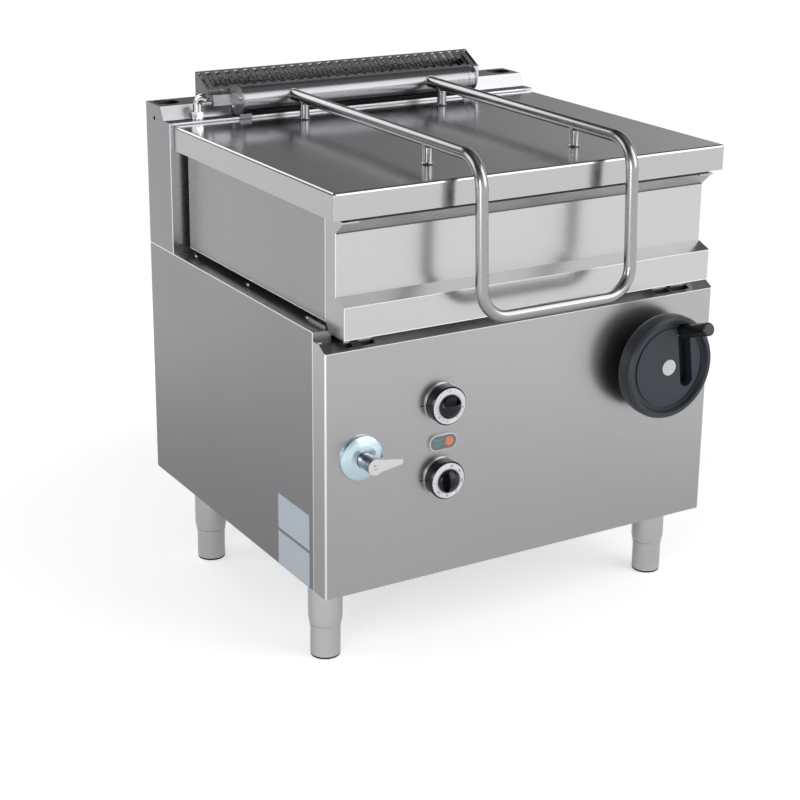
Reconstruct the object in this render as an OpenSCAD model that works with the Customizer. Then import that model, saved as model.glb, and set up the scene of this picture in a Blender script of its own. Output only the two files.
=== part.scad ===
// Tilting bratt pan with a hand wheel drive: cabinet, tilting pan, hinged lid and controls.
// Millimetres, +Z up, the front faces -Y, the floor is at z = 0.
// Sizes are taken in cabinet coordinates (x from the middle, y from the front panel)
// and every sub-part is moved by mid_y, so the origin lies under the middle of the whole.

/* [Cabinet] */
// Overall width of the cabinet
cab_w = 800; // [640:10:1200]
// Distance from the front panel to the back of the cabinet
cab_d = 696; // [640:2:800]
// Height of the underside of the cabinet above the floor
cab_z0 = 149; // [100:1:200]
// Height of the side panels' top flange
flange_z = 609; // [580:1:640]
// Thickness of the cabinet sheet
sheet = 2; // [1.5:0.1:3]
// Width of the top flange of each side panel
flange_w = 55; // [50:1:70]
// Distance of each leg's centre from the side of the cabinet
leg_inset = 47; // [40:1:80]
// Position of the front pair of legs behind the front panel
leg_front_y = 88; // [70:1:150]
// Position of the rear pair of legs behind the front panel
leg_rear_y = 554; // [450:1:600]
// Outer diameter of the leg sleeves
sleeve_d = 60; // [56:0.5:70]
// Diameter of the adjustable feet
foot_d = 53; // [40:0.5:53]
// Travel of each adjustable foot
foot_travel = 45; // [20:1:50]

/* [Rear riser] */
// Height of the riser's ledge above the top of the lid
ledge_up = 4.5; // [0:0.5:8]
// Height of the riser's top above its ledge
riser_step = 24.5; // [15:0.5:30]
// Depth of the rear riser
riser_depth = 108; // [106:0.5:114]
// Height of the flue grille above the riser
flue_h = 48; // [46:1:70]
// Distance of the flue grille's ends from the sides of the cabinet
flue_inset = 98.5; // [80:0.5:200]
// Distance between the slats of the flue grille
slat_pitch = 20; // [16:1:30]

/* [Pan] */
// Distance of the pan casing from the sides of the cabinet
pan_side_gap = 26; // [24:0.5:30]
// Distance of the pan casing from the front face of the riser
pan_rear_gap = 18; // [17:0.5:24]
// Height of the underside of the pan casing
casing_z = 622; // [621:0.5:624]
// Height of the lower edge of the front fascia
fascia_z = 605.5; // [603:0.5:606]
// Height of the pan rim above the floor
rim_z = 800; // [790:1:802]
// Height of the pan floor's underside
floor_z = 660; // [655:1:670]
// Thickness of the heated pan floor
floor_t = 10; // [6:1:14]
// Distance of the well from the pan casing, sideways
well_gap = 34; // [32:1:74]
// Radius of the upright corners of the well
well_r = 30; // [15:1:60]
// Position of the tilting axis behind the front panel
tilt_y = 8; // [7:0.5:9]
// Height of the tilting axis
tilt_z = 620; // [619:0.5:621]
// Diameter of the trunnion pins
trunnion_d = 14; // [12:0.5:15]

/* [Lid] */
// Distance of the lid's sides from the sides of the cabinet
lid_side_gap = 6; // [4:0.5:15]
// Front face of the lid, ahead of the front panel
lid_front_y = -18; // [-20:0.5:-17]
// Distance of the lid's rear face from the front face of the riser
lid_rear_gap = 3; // [3:0.5:10]
// Height of the lid from the bottom of its skirt to its top
lid_h = 45; // [40:0.5:60]
// Gap between the pan rim and the bottom of the lid skirt
skirt_gap = 5; // [3:0.5:10]
// Radius of the rounded lid edges
lid_r = 5; // [3:0.5:10]
// Distance of the lid's hinge axis behind the front face of the riser
hinge_back = 12; // [11:0.5:13]
// Height of the lid's hinge axis above the ledge of the riser
hinge_up = 30.5; // [29:0.5:34]
// Outer diameter of the hinge tube
hinge_tube_d = 48.3; // [40:0.1:50]
// Diameter of the hinge shaft
hinge_shaft_d = 20; // [16:0.5:22]
// Distance of the hinge's end plates from the sides of the cabinet
stand_inset = 145; // [140:1:170]
// Distance of the handle's legs ahead of the lid
handle_reach = 49; // [48:1:60]
// Half distance between the two arms of the lid handle
arm_x = 150.5; // [130:0.5:158]
// Diameter of the handle tube
handle_d = 21.3; // [18:0.1:22]
// Height of the handle arms' centre line above the hinge axis
arm_up = 4; // [1:0.5:7]
// Forward lean of the handle legs in degrees
leg_lean = 2.4; // [2:0.1:4]
// Radius of the upper bends of the handle
top_bend_r = 52; // [45:1:60]
// Radius of the lower bends of the handle
low_bend_r = 50; // [35:1:60]
// Height of the centre line of the grip bar
grip_bar_z = 625; // [622:1:660]

/* [Tilting drive] */
// Distance of the hand wheel shaft from the right side of the cabinet
wheel_inset = 134; // [130:0.5:138]
// Height of the hand wheel shaft
wheel_z = 466; // [460:1:470]
// Diameter of the hand wheel
wheel_d = 190; // [160:1:196]
// Diameter of the hand wheel shaft
worm_shaft_d = 16; // [14:0.5:18]
// Module of the worm gear pair
gear_module = 2; // [2:0.5:2]
// Number of teeth of the worm wheel
gear_teeth = 36; // [36:1:36]
// Mean radius of the worm thread
worm_r = 14; // [13.5:0.1:14.5]
// Depth of the worm thread about its mean radius
thread_e = 1.8; // [1.4:0.1:1.8]
// Length of the crank and of the lug arm, which are equal
crank_len = 100; // [90:1:104]
// Direction of the crank at rest, from the rearward line
crank_angle = -20; // [-24:1:-16]
// Distance of the worm wheel centre behind the front panel
gear_y = 46; // [45:0.5:50]
// Diameter of the pins of the tie link
link_pin_d = 12; // [10:0.5:13]
// Running clearance on the radius of every turning joint
run_gap = 0.05; // [0.02:0.01:0.08]
// Lean of the unfolded hand wheel grip from square, in degrees
grip_lean = 19; // [0:1:22]
// Length of the hand wheel grip from its pivot
grip_len = 88; // [70:1:89]
// Diameter of the hand wheel grip
grip_d = 24; // [18:0.5:24.5]

/* [Controls] */
// Sideways position of the two knobs
knob_x = -175; // [-185:1:-165]
// Height of the upper knob
upper_knob_z = 462; // [450:1:480]
// Height of the lower knob
lower_knob_z = 328; // [310:1:345]
// Diameter of the knobs
knob_d = 68; // [56:1:70]
// Height of the pilot lamp window
lamp_z = 392; // [380:1:400]
// Distance of the water tap from the left side of the cabinet
tap_inset = 67; // [60:1:75]
// Height of the water tap
tap_z = 393; // [380:1:410]
// Diameter of the tap escutcheon
escutcheon_d = 80; // [60:1:90]
// Length of the tap lever
lever_len = 53; // [40:1:60]
// Outer diameter of the water spout
spout_d = 17; // [12:0.5:20]
// Distance of the water spout behind the front face of the riser
spout_back = 16; // [13:0.5:17]
// Diameter of the water inlet pipe
inlet_d = 21.3; // [15:0.1:26.9]
// Distance of the water inlet behind the front panel
inlet_y = 450; // [300:5:480]
// Bore of the cable gland
gland_bore = 14; // [10:0.5:16]

/* [Hidden] */
$fn = 64;
hw = cab_w / 2;
leg_x = hw - leg_inset;
// the pan and the lid fit between the sides and ahead of the riser
riser_y = cab_d - riser_depth;
pan_hw = hw - pan_side_gap;
pan_rear_y = riser_y - pan_rear_gap;
lid_hw = hw - lid_side_gap;
lid_rear_y = riser_y - lid_rear_gap;
// straps of the hinge, in the gap between the lid and the riser
strap_t = 1.8;
strap_y = riser_y - lid_rear_gap + 0.6;
hinge_y = riser_y + hinge_back;
// heights from the rim upwards: lid, ledge, riser, flue and hinge
skirt_z = rim_z + skirt_gap;
lid_z = skirt_z + lid_h;
ledge_z = lid_z + ledge_up;
riser_z = ledge_z + riser_step;
flue_z = riser_z + flue_h;
hinge_z = ledge_z + hinge_up;
arm_z = hinge_z + arm_up;
stand_x = hw - stand_inset;
well_hw = pan_hw - well_gap;
well_y0 = 18;
well_y1 = pan_rear_y - 28;
well_t = 3;
// middle heating element; the thermostat bulb lies between it and the front one
element_y = (well_y0 + well_y1) / 2 + 10;
flue_hw = hw - flue_inset;
flue_y = cab_d - 59;
slats = floor((flue_hw - 17) / slat_pitch);
wheel_x = hw - wheel_inset;
tap_x = tap_inset - hw;
spout_x = tap_x - 4;
spout_y = riser_y + spout_back;
gland_x = 150 - hw;
gland_y = cab_d - 76;
// centres of the gear pair
gear_r = gear_module * gear_teeth / 2;
gear_z = wheel_z + worm_r + gear_r;
lead = PI * gear_module;
// lug pin under the pan and crank pin, a parallelogram with the two axes
lug_y = tilt_y + crank_len * cos(crank_angle);
lug_z = tilt_z + crank_len * sin(crank_angle);
pin_y = gear_y + crank_len * cos(crank_angle);
pin_z = gear_z + crank_len * sin(crank_angle);
// hand wheel faces and the grip's pivot in the wheel's own frame
wheel_front = -60;
wheel_web = -52;
wheel_back = -25;
wheel_turn = -7.4;
grip_px = 38;
grip_pz = 54;
grip_py = -40;
grip_chamfer = 2;
slot_w = grip_d + 3;
front_most = grip_py - (grip_len * cos(grip_lean) + (grip_d / 2 - grip_chamfer) * sin(grip_lean));
mid_y = -(cab_d + front_most) / 2;
// the handle's bends in the side view
handle_y = lid_front_y - handle_reach;
bend_y = handle_y + top_bend_r * cos(leg_lean);
bend_end_z = arm_z - top_bend_r * (1 - sin(leg_lean));
leg_len = (bend_end_z - grip_bar_z) / cos(leg_lean);

module placed() translate([0, mid_y, 0]) children();
module both() {
    children();
    mirror([1, 0, 0]) children();
}
module box(x0, x1, y0, y1, z0, z1) translate([x0, y0, z0]) cube([x1 - x0, y1 - y0, z1 - z0]);
module along_x(x0, x1) translate([x0, 0, 0]) rotate([90, 0, 90]) linear_extrude(x1 - x0) children();
module rod_x(d, x0, x1, y, z) translate([x0, y, z]) rotate([0, 90, 0]) cylinder(h = x1 - x0, d = d);
module rod_y(d, y0, y1, x, z) translate([x, y0, z]) rotate([-90, 0, 0]) cylinder(h = y1 - y0, d = d);
module rod_z(d, z0, z1, x, y) translate([x, y, z0]) cylinder(h = z1 - z0, d = d);
module disc(y, z, r) translate([y, z]) circle(r);

// block with upright edges and top edges rounded, flat underneath
module rounded_block(x0, x1, y0, y1, z0, z1, r) {
    box(x0 + r, x1 - r, y0 + r, y1 - r, z0, z1);
    box(x0, x1, y0 + r, y1 - r, z0, z1 - r);
    box(x0 + r, x1 - r, y0, y1, z0, z1 - r);
    for (x = [x0 + r, x1 - r]) for (y = [y0 + r, y1 - r]) {
        rod_z(2 * r, z0, z1 - r, x, y);
        translate([x, y, z1 - r]) sphere(r);
    }
    for (y = [y0 + r, y1 - r]) rod_x(2 * r, x0 + r, x1 - r, y, z1 - r);
    for (x = [x0 + r, x1 - r]) rod_y(2 * r, y0 + r, y1 - r, x, z1 - r);
}
// block with rounded upright edges
module round_corner_block(x0, x1, y0, y1, z0, z1, r) {
    box(x0 + r, x1 - r, y0, y1, z0, z1);
    box(x0, x1, y0 + r, y1 - r, z0, z1);
    for (x = [x0 + r, x1 - r]) for (y = [y0 + r, y1 - r]) rod_z(2 * r, z0, z1, x, y);
}

// Cabinet
module side_panel() {
    box(hw - sheet, hw, 40, cab_d, cab_z0, flange_z);
    box(hw - flange_w, hw, 40, cab_d - sheet, flange_z - sheet, flange_z);
    box(hw - 33, hw, 40, 40 + sheet, 594, flange_z);
    box(hw - 30, hw, 40, cab_d, cab_z0, cab_z0 + sheet);
    box(hw - 20, hw, cab_d - sheet, cab_d, cab_z0, flange_z);
}
module left_side_panel() color([0.78, 0.79, 0.8]) placed() mirror([1, 0, 0]) side_panel();
module right_side_panel() color([0.78, 0.79, 0.8]) placed() side_panel();

module front_panel() color([0.76, 0.77, 0.78]) placed() {
    difference() {
        union() {
            along_x(-hw + 3, hw - 3) polygon([
                [0, cab_z0], [0, 582], [21, 594], [40, 594], [40, 594 - sheet],
                [21.6, 594 - sheet], [sheet, 582 - 1.2], [sheet, cab_z0 + sheet],
                [30, cab_z0 + sheet], [30, cab_z0]
            ]);
            // rounded upright corners and the returns along the sides
            both() intersection() {
                along_x(hw - 6, hw) polygon([[0, cab_z0], [0, 582], [21, 594], [39.4, 594], [39.4, cab_z0]]);
                round_corner_block(-hw, hw, 0, 60, cab_z0 - 1, 600, 3.5);
                union() {
                    box(hw - sheet, hw, 3, 60, cab_z0 - 1, 600);
                    box(hw - 6, hw, 0, 6, cab_z0 - 1, 600);
                    along_x(hw - 6, hw) polygon([
                        [0, 600], [0, 578], [sheet, 580.8], [21.6, 594 - sheet], [40, 594 - sheet], [40, 600]
                    ]);
                }
            }
        }
        // vents in the sloping edge
        box(-hw + 43, -hw + 56, 6, 18, 575, 600);
        box(-hw + 71, -hw + 97, 6, 18, 575, 600);
        box(hw - 124, hw - 92, 6, 18, 575, 600);
        box(hw - 83, hw - 48, 6, 18, 575, 600);
        // holes for the controls
        rod_y(worm_shaft_d + 6, -1, sheet + 1, wheel_x, wheel_z);
        rod_y(12, -1, sheet + 1, knob_x, upper_knob_z);
        rod_y(12, -1, sheet + 1, knob_x, lower_knob_z);
        rod_y(26, -1, sheet + 1, tap_x, tap_z);
        box(knob_x - 22, knob_x + 22, -1, sheet + 1, lamp_z - 9, lamp_z + 9);
    }
}

module back_panel() color([0.7, 0.71, 0.72]) placed()
    box(-hw + sheet, hw - sheet, cab_d - 2 * sheet, cab_d - sheet, cab_z0 + sheet, flange_z - sheet);

module bottom_panel() color([0.7, 0.71, 0.72]) placed() difference() {
    box(-hw + 30, hw - 30, 30, cab_d - 2 * sheet, cab_z0, cab_z0 + sheet);
    rod_z(24, cab_z0 - 1, cab_z0 + sheet + 1, gland_x, gland_y);
    rod_z(18, cab_z0 - 1, cab_z0 + sheet + 1, tap_x, inlet_y);
}

module rear_cross_rail() color([0.7, 0.71, 0.72]) placed() difference() {
    union() {
        box(-hw + sheet, hw - sheet, riser_y, riser_y + 57, flange_z - 2 * sheet, flange_z - sheet);
        box(-hw + sheet, hw - sheet, riser_y, riser_y + sheet, flange_z - 49, flange_z - sheet);
        box(-hw + flange_w, hw - flange_w, riser_y, riser_y + 57, flange_z - 2 * sheet, flange_z);
    }
    rod_z(26, flange_z - 10, flange_z + 1, spout_x, spout_y);
}

module rear_riser() color([0.77, 0.78, 0.79]) placed() difference() {
    along_x(-hw, hw) polygon([
        [riser_y, flange_z], [riser_y, ledge_z], [riser_y + 29, ledge_z], [riser_y + 43, riser_z],
        [cab_d, riser_z], [cab_d, flange_z]
    ]);
    along_x(-hw + sheet, hw - sheet) polygon([
        [riser_y + sheet, flange_z - 1], [riser_y + sheet, ledge_z - sheet],
        [riser_y + 30.2, ledge_z - sheet], [riser_y + 44.2, riser_z - sheet],
        [cab_d - sheet, riser_z - sheet], [cab_d - sheet, flange_z - 1]
    ]);
    both() rod_z(47, riser_z - 5, riser_z + 1, hw - 29.5, cab_d - 27);
    rod_x(8, -hw - 1, -hw + sheet + 1, cab_d - 37, riser_z - 26);
    rod_z(spout_d - 1, ledge_z - 5, ledge_z + 1, spout_x, spout_y);
    box(-flue_hw + 12, flue_hw - 12, flue_y + 11, flue_y + 45, riser_z - 5, riser_z + 1);
}

module flue_profile(t) polygon([
    [flue_y + t, riser_z - t], [flue_y + t, flue_z - 27 - t / 2], [flue_y + 49, flue_z - t * 1.15],
    [flue_y + 53 - t, flue_z - t], [flue_y + 53 - t, riser_z - t]
]);
module flue_grille() color([0.74, 0.75, 0.76]) placed() difference() {
    union() {
        difference() {
            along_x(-flue_hw, flue_hw) flue_profile(0);
            along_x(-flue_hw + sheet, flue_hw - sheet) flue_profile(sheet);
        }
        // second slotted layer under the first
        along_x(-flue_hw, flue_hw) polygon([
            [flue_y, flue_z - 38], [flue_y + 53, flue_z - 12], [flue_y + 53, flue_z - 14],
            [flue_y, flue_z - 40]
        ]);
    }
    for (i = [-slats : slats]) translate([i * slat_pitch, 0, 0])
        box(-4.75, 4.75, flue_y + 6, flue_y + 46, flue_z - 30, flue_z + 5);
    for (i = [-slats : slats - 1]) translate([(i + 0.5) * slat_pitch, 0, 0])
        box(-4.75, 4.75, flue_y + 9, flue_y + 43, flue_z - 42, flue_z - 13.5);
    both() box(flue_hw - 7, flue_hw - sheet, flue_y + 6, flue_y + 46, flue_z - 30, flue_z + 5);
}

module leg_sleeves() color([0.75, 0.76, 0.77]) placed()
    for (x = [-leg_x, leg_x]) for (y = [leg_front_y, leg_rear_y]) difference() {
        union() {
            rod_z(sleeve_d, 72, cab_z0, x, y);
            translate([x, y, 62]) cylinder(h = 10, d1 = sleeve_d - 4, d2 = sleeve_d);
            box(x - 42, x + 42, y - 42, y + 42, cab_z0 - 4, cab_z0);
        }
        rod_z(foot_d + 2 * run_gap, 60, cab_z0 + 1, x, y);
    }

module foot(x, y) color([0.72, 0.73, 0.74]) placed() {
    rod_z(foot_d, 4, cab_z0 - 9, x, y);
    rod_z(foot_d - 3, 0, 4, x, y);
}
module foot_front_left() foot(-leg_x, leg_front_y);
module foot_front_right() foot(leg_x, leg_front_y);
module foot_rear_left() foot(-leg_x, leg_rear_y);
module foot_rear_right() foot(leg_x, leg_rear_y);

// Bearings of the pan
module trunnion_brackets() color([0.6, 0.61, 0.63]) placed() both() difference() {
    union() {
        rod_x(24, pan_hw - 28, pan_hw - 18, tilt_y, tilt_z);
        along_x(pan_hw - 26, pan_hw - 20) polygon([
            [tilt_y, tilt_z + 11], [40, casing_z - 3], [108, casing_z - 3], [108, flange_z], [38, flange_z],
            [tilt_y, tilt_z - 11]
        ]);
        box(pan_hw - 21, pan_hw - 2, 50, 108, flange_z, flange_z + 4);
    }
    rod_x(trunnion_d + 4, pan_hw - 29, pan_hw - 17, tilt_y, tilt_z);
}
module bush_x(od, id, x0, x1, y, z) difference() {
    rod_x(od, x0, x1, y, z);
    rod_x(id, x0 - 1, x1 + 1, y, z);
}
module bush_y(od, id, y0, y1, x, z) difference() {
    rod_y(od, y0, y1, x, z);
    rod_y(id, y0 - 1, y1 + 1, x, z);
}
module bronze_bushes() color([0.72, 0.53, 0.25]) placed() {
    both() bush_x(trunnion_d + 4, trunnion_d + 2 * run_gap, pan_hw - 28, pan_hw - 18, tilt_y, tilt_z);
    bush_x(worm_shaft_d + 6, worm_shaft_d + 2 * run_gap, wheel_x - 44, wheel_x - 38, gear_y, gear_z);
    bush_x(worm_shaft_d + 6, worm_shaft_d + 2 * run_gap, wheel_x + 22, wheel_x + 28, gear_y, gear_z);
    bush_y(worm_shaft_d + 6, worm_shaft_d + 2 * run_gap, -4, 6, wheel_x, wheel_z);
    bush_y(worm_shaft_d + 6, worm_shaft_d + 2 * run_gap, 92, 98, wheel_x, wheel_z);
}
module trunnion_pins() color([0.66, 0.67, 0.69]) placed() both() {
    rod_x(trunnion_d, pan_hw - 54, pan_hw - sheet, tilt_y, tilt_z);
    along_x(pan_hw - 52, pan_hw - 38) polygon([
        [tilt_y - 12, tilt_z - 12], [tilt_y + 12, tilt_z - 12], [40, tilt_z + 20], [40, floor_z],
        [15, floor_z], [tilt_y - 12, floor_z - 10]
    ]);
}

// Tilting pan
module vessel() color([0.8, 0.81, 0.82]) placed() {
    difference() {
        union() {
            round_corner_block(-well_hw - well_t, well_hw + well_t, well_y0 - well_t, well_y1 + well_t,
                floor_z, rim_z - 1, well_r + well_t);
            box(-pan_hw, pan_hw, -13, pan_rear_y, rim_z - 3, rim_z);
        }
        round_corner_block(-well_hw, well_hw, well_y0, well_y1, floor_z + floor_t, rim_z + 5, well_r);
        box(-well_hw, well_hw, -9, 60, rim_z - 23, rim_z + 5);
        box(-well_hw - 4, well_hw + 4, -14, 15, rim_z - 4, rim_z + 5);
        box(-well_hw, well_hw, 14, 40, rim_z - 23, rim_z + 5);
    }
    // pouring lip along the whole front
    along_x(-pan_hw + sheet, pan_hw - sheet) polygon([
        [15, rim_z - 25], [12, rim_z - 22], [-13, rim_z], [-9, rim_z], [18, rim_z - 22.8], [18, rim_z - 25]
    ]);
    both() along_x(well_hw, well_hw + well_t) polygon([
        [-13, rim_z], [12, rim_z - 22], [15, rim_z - 25], [60, rim_z - 25], [60, rim_z]
    ]);
}

module casing_front() color([0.79, 0.8, 0.81]) placed() difference() {
    union() {
        along_x(-pan_hw + 1, pan_hw - 1) polygon([
            [44, casing_z], [34, fascia_z], [-16, fascia_z], [-16, fascia_z + 55], [13, fascia_z + 65.5],
            [13, rim_z - 25], [15, rim_z - 25], [15, fascia_z + 64.1], [-14, fascia_z + 53.6],
            [-14, fascia_z + 2], [32.9, fascia_z + 2], [42.3, casing_z + 1], [44, casing_z + 2]
        ]);
        both() along_x(pan_hw - sheet, pan_hw) polygon([
            [44, casing_z], [34, fascia_z], [-16, fascia_z], [-16, fascia_z + 55], [13, fascia_z + 65.5],
            [13, rim_z - 23], [-9.6, rim_z - 3], [45, rim_z - 3], [45, casing_z]
        ]);
    }
    // slots for the trunnion brackets
    both() box(pan_hw - 32, pan_hw - 14, -6, 46, fascia_z - 1, casing_z + 4);
}
module casing_panels() color([0.79, 0.8, 0.81]) placed() {
    both() {
        box(pan_hw - sheet, pan_hw, 45, pan_rear_y, casing_z, rim_z - 3);
        box(pan_hw - 20, pan_hw, 45, pan_rear_y - sheet, casing_z, casing_z + sheet);
    }
    box(-pan_hw + 1, pan_hw - 1, pan_rear_y - sheet, pan_rear_y, casing_z, rim_z - 3);
}
module bottom_cover() color([0.68, 0.69, 0.7]) placed()
    box(-pan_hw + 20, pan_hw - 20, 46, pan_rear_y - sheet, casing_z, casing_z + sheet);

module element(y) {
    for (dy = [-40, 40]) rod_x(8.5, 50 - well_hw, well_hw - 40, y + dy, floor_z - 4.25);
    translate([50 - well_hw, y, floor_z - 4.25]) rotate([0, 0, 90])
        rotate_extrude(angle = 180) translate([40, 0]) circle(d = 8.5);
}
module heating_elements() color([0.45, 0.42, 0.4]) placed()
    for (i = [-1 : 1]) element(element_y + i * 160);
module pan_insulation() color([0.85, 0.82, 0.7]) placed()
    box(59 - pan_hw, pan_hw - 59, 60, pan_rear_y - 10, casing_z + sheet, floor_z - 12);
module thermostat_bulb() color([0.75, 0.6, 0.4]) placed()
    rod_x(7, -60, 60, element_y - 80, floor_z - 3.5);

module tilt_lug() color([0.62, 0.63, 0.65]) placed() {
    for (x = [wheel_x - 26, wheel_x - 9.5]) difference() {
        along_x(x, x + 6) {
            disc(lug_y, lug_z, 12);
            polygon([
                [lug_y - 12, lug_z], [lug_y + 12, lug_z], [lug_y + 20, casing_z - 2],
                [lug_y - 20, casing_z - 2]
            ]);
        }
        rod_x(link_pin_d, x - 1, x + 7, lug_y, lug_z);
    }
    box(wheel_x - 30, wheel_x + 0.5, lug_y - 26, lug_y + 26, casing_z - 3, casing_z);
    rod_x(link_pin_d, wheel_x - 28, wheel_x - 1.5, lug_y, lug_z);
}

// Hinge of the lid, carried on the pan
module hinge_stand(plate_r) difference() {
    union() {
        // end plate of the hinge tube, with a lobe down to the ledge
        along_x(stand_x, stand_x + 4) {
            disc(hinge_y, hinge_z, plate_r);
            polygon([
                [strap_y, hinge_z - 5], [strap_y, ledge_z + 2.5], [strap_y + 2, ledge_z + 1],
                [hinge_y + 8, ledge_z + 1], [hinge_y + 17, hinge_z - 18]
            ]);
        }
        // strap behind the lid, carried on the rear wall of the pan
        box(stand_x - 20, stand_x + 4, strap_y, strap_y + strap_t, rim_z - 110, ledge_z + 5);
        box(stand_x - 20, stand_x + 20, pan_rear_y, pan_rear_y + 4, rim_z - 110, rim_z - 30);
        for (z = [rim_z - 110, rim_z - 34])
            box(stand_x - 20, stand_x + 4, pan_rear_y, strap_y + strap_t, z, z + 4);
    }
    rod_x(hinge_shaft_d, stand_x - 24, stand_x + 2, hinge_y, hinge_z);
}
module hinge_stands() color([0.7, 0.71, 0.73]) placed() {
    hinge_stand(hinge_tube_d / 2 + 1);
    mirror([1, 0, 0]) hinge_stand(hinge_tube_d / 2 + 4.5);
}
module hinge_shaft() color([0.66, 0.67, 0.69]) placed()
    rod_x(hinge_shaft_d, -stand_x - 2, stand_x + 2, hinge_y, hinge_z);
module spring_anchor() color([0.7, 0.71, 0.73]) placed()
    box(-stand_x - 50, -stand_x - 4, hinge_y + 2, hinge_y + 10, hinge_z - 9, hinge_z + 11);
module balance_spring() color([0.4, 0.41, 0.43]) placed()
    translate([36 - stand_x, hinge_y, hinge_z]) rotate([0, 90, 0]) rotate_extrude() union() {
        for (i = [0 : 35]) translate([hinge_shaft_d / 2 + 2.8, i * 6]) circle(d = 5, $fn = 24);
        translate([hinge_shaft_d / 2 + 1.6, 0]) square([2.4, 210]);
    }

// Lid
module lid_skin() color([0.8, 0.81, 0.82]) placed() difference() {
    rounded_block(-lid_hw, lid_hw, lid_front_y, lid_rear_y, skirt_z, lid_z, lid_r);
    rounded_block(
        -lid_hw + 2, lid_hw - 2, lid_front_y + 2, lid_rear_y - 2, skirt_z - 1, lid_z - 2, lid_r - 2
    );
}
module lid_inner_skin() color([0.76, 0.77, 0.78]) placed()
    box(-lid_hw + 2, lid_hw - 2, lid_front_y + 9, pan_rear_y - 4, skirt_z + 1, skirt_z + 3);
module lid_insulation() color([0.85, 0.82, 0.7]) placed()
    box(-lid_hw + 10, lid_hw - 10, lid_front_y + 10, pan_rear_y - 10, skirt_z + 3, lid_z - 8.5);
module lid_seal() color([0.15, 0.15, 0.15]) placed() difference() {
    box(10 - pan_hw, pan_hw - 10, -13, pan_rear_y - 10, rim_z + 0.3, skirt_z + 1);
    box(20 - pan_hw, pan_hw - 20, -5, pan_rear_y - 20, rim_z - 1, skirt_z + 2);
}
module bend(r, a) rotate_extrude(angle = a) translate([r, 0]) circle(d = handle_d);
module half_handle() {
    rod_y(handle_d, bend_y, hinge_y - 12, arm_x, arm_z);
    translate([arm_x, bend_y, arm_z - top_bend_r]) rotate([90, 0, 90]) rotate([0, 0, 90])
        bend(top_bend_r, 90 - leg_lean);
    translate([arm_x, handle_y, bend_end_z]) rotate([-leg_lean, 0, 0]) {
        // weld collar between the upper bend and the leg
        translate([0, 0, -4]) cylinder(h = 8, d = handle_d + 0.8);
        translate([0, 0, -leg_len + low_bend_r]) cylinder(h = leg_len - low_bend_r - 1, d = handle_d);
        translate([-low_bend_r, 0, -leg_len + low_bend_r]) rotate([-90, 0, 0]) bend(low_bend_r, 90);
    }
    for (y = [lid_front_y + 117, lid_rear_y - 49]) rod_z(18, lid_z, arm_z, arm_x, y);
}
module lid_handle() color([0.8, 0.81, 0.82]) placed() difference() {
    union() {
        both() half_handle();
        translate([0, handle_y, bend_end_z]) rotate([-leg_lean, 0, 0])
            translate([-arm_x + low_bend_r, 0, -leg_len]) rotate([0, 90, 0])
            cylinder(h = 2 * (arm_x - low_bend_r), d = handle_d);
    }
    rod_x(hinge_tube_d, -200, 200, hinge_y, hinge_z);
}
module hinge_tube() color([0.78, 0.79, 0.8]) placed() difference() {
    rod_x(hinge_tube_d, 0.5 - stand_x, stand_x - 0.5, hinge_y, hinge_z);
    rod_x(hinge_tube_d - 6, 16 - stand_x, stand_x - 16, hinge_y, hinge_z);
    rod_x(hinge_shaft_d + 2 * run_gap, -stand_x, stand_x, hinge_y, hinge_z);
    // groove beside the collar at the right end and its set screw holes
    bush_x(hinge_tube_d + 2, hinge_tube_d - 1.2, stand_x - 15, stand_x - 14, hinge_y, hinge_z);
    for (a = [50, 120, 190]) translate([stand_x - 4.5, hinge_y, hinge_z])
        rotate([a, 0, 0]) cylinder(h = 30, d = 6);
}

// Tilting drive
module gearbox_frame() color([0.5, 0.52, 0.54]) placed() difference() {
    union() {
        box(wheel_x - 44, wheel_x + 28, sheet, sheet + 4, wheel_z - 30, gear_z + 44);
        box(wheel_x + 22, wheel_x + 28, sheet + 4, 98, wheel_z - 22, gear_z + 30);
        box(wheel_x - 44, wheel_x - 38, sheet + 4, 70, wheel_z + 26, gear_z + 27);
        box(wheel_x - 16, wheel_x + 23, 92, 98, wheel_z - 22, wheel_z + 22);
    }
    rod_x(worm_shaft_d + 6, wheel_x - 45, wheel_x - 37, gear_y, gear_z);
    rod_x(worm_shaft_d + 6, wheel_x + 21, wheel_x + 29, gear_y, gear_z);
    rod_y(worm_shaft_d + 6, 0, 10, wheel_x, wheel_z);
    rod_y(worm_shaft_d + 6, 90, 99, wheel_x, wheel_z);
}
module tooth() polygon([
    [-1.75, gear_r - 3.5], [-1.5, gear_r - 1.6], [-1.05, gear_r], [-0.5, gear_r + 1.2],
    [0.5, gear_r + 1.2], [1.05, gear_r], [1.5, gear_r - 1.6], [1.75, gear_r - 3.5]
]);
module worm_wheel() color([0.75, 0.58, 0.3]) placed() translate([0, gear_y, gear_z]) difference() {
    union() {
        along_x(wheel_x - 3.5, wheel_x + 3.5) {
            circle(gear_r - 2.6, $fn = 96);
            for (i = [0 : gear_teeth - 1]) rotate(i * 360 / gear_teeth) rotate(180) tooth();
        }
        rod_x(34, wheel_x - 12, wheel_x + 12, 0, 0);
    }
    rod_x(worm_shaft_d, wheel_x - 13, wheel_x + 13, 0, 0);
}
module link_bar(y0, z0, y1, z1, w) translate([y0, z0]) rotate(atan2(z1 - z0, y1 - y0))
    translate([0, -w / 2]) square([norm([y1 - y0, z1 - z0]), w]);
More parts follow.
